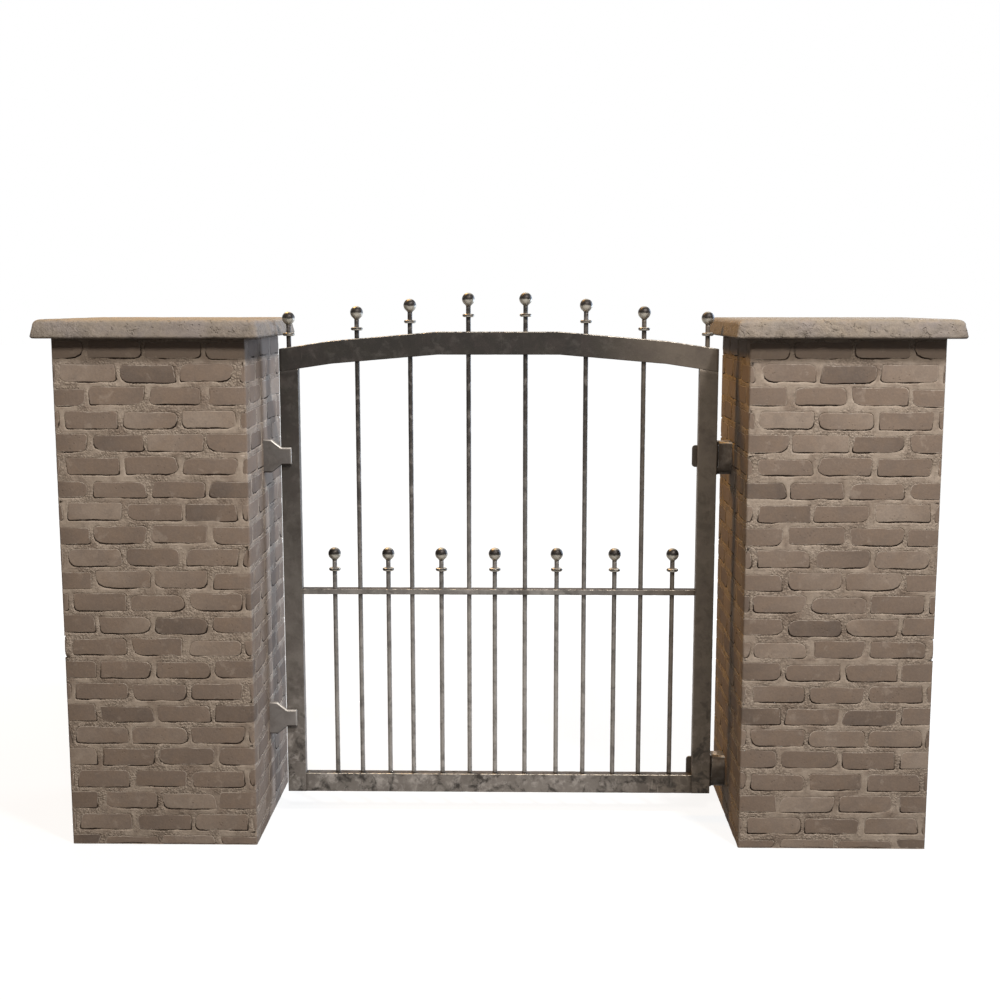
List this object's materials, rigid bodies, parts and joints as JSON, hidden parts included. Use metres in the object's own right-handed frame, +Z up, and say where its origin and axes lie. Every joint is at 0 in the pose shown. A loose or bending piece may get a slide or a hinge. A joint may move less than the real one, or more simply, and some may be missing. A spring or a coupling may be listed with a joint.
{
  "type": "metal garden gate between brick piers",
  "caption": "Single-leaf steel garden gate with an arched top rail and ball-topped bars, hinged between two square brick piers with capstones.",
  "frame": {"origin": "on the ground, in the middle of the gateway and of the piers' depth", "axes": "+X along the gateway towards the hinge pier, +Y towards the garden side that the leaf opens to, +Z up"},
  "size_m": [3.236, 0.796, 2.0095],
  "materials": {
    "brickwork": "weathered grey-brown brick with rough sandy mortar",
    "capstone": "worn cast concrete",
    "frame_steel": "worn dark steel, satin, scuffed and scratched",
    "bar_steel": "worn dark steel, pitted, satin",
    "ball_steel": "worn dark steel, half glossy",
    "collar_steel": "worn dark steel",
    "plate_steel": "grey steel plate with worn bright edges",
    "pin_steel": "turned steel, dull"
  },
  "bodies": {
    "piers": {"left_pier": "brickwork", "right_pier": "brickwork", "left_capstone": "capstone", "right_capstone": "capstone", "upper_bracket": "plate_steel", "lower_bracket": "plate_steel", "upper_hinge_pin": "pin_steel", "lower_hinge_pin": "pin_steel", "upper_catch_plate": "plate_steel", "lower_catch_plate": "plate_steel"},
    "leaf": {"hinge_stile": "frame_steel", "catch_stile": "frame_steel", "bottom_rail": "frame_steel", "middle_rail": "frame_steel", "top_rail": "frame_steel", "tall_bar_1": "bar_steel", "tall_bar_2": "bar_steel", "tall_bar_3": "bar_steel", "tall_bar_4": "bar_steel", "tall_bar_5": "bar_steel", "tall_bar_6": "bar_steel", "short_bar_1": "bar_steel", "short_bar_2": "bar_steel", "short_bar_3": "bar_steel", "short_bar_4": "bar_steel", "short_bar_5": "bar_steel", "short_bar_6": "bar_steel", "short_bar_7": "bar_steel", "catch_end_stem": "bar_steel", "hinge_end_stem": "bar_steel", "tall_collars": "collar_steel", "tall_balls": "ball_steel", "short_collars": "collar_steel", "short_balls": "ball_steel", "upper_strap": "plate_steel", "lower_strap": "plate_steel"}
  },
  "joints": [
    {"name": "leaf_hinge", "type": "hinge", "parent": "piers", "child": "leaf", "pos_m": [0.82, 0.03, 0], "axis": [0, 0, -1], "range_deg": [0, 90]}
  ]
}
